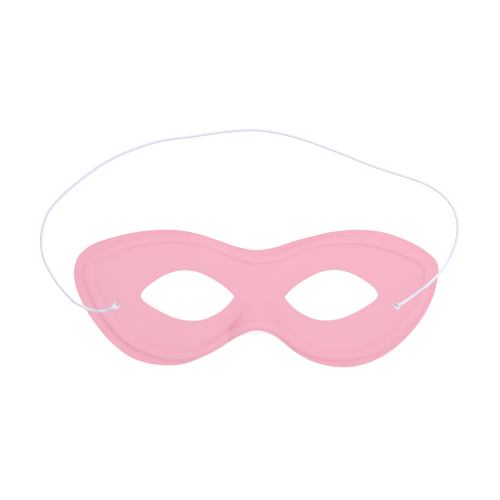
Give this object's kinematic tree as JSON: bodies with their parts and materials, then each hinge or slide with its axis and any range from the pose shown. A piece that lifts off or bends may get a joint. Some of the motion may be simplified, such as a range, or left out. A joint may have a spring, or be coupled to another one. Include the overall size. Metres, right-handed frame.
{
  "type": "domino mask",
  "caption": "Pink half mask with almond eye holes, a raised bead round its rim, a nose bulge and a knotted white elastic cord.",
  "frame": {"origin": "under the middle of the shell's box, on the surface that the mask lies on face up", "axes": "+X along the mask's length to the viewer's right, +Y towards the brow, +Z out of the mask's front"},
  "size_m": [0.2047, 0.1166, 0.02],
  "materials": {
    "pink_cloth": "matte pink cloth pressed over a stiff white-lined sheet",
    "white_elastic": "smooth white braided elastic"
  },
  "bodies": {
    "root": {"mask_shell": "pink_cloth", "left_knot": "white_elastic", "right_knot": "white_elastic", "elastic_cord": "white_elastic"}
  },
  "joints": []
}
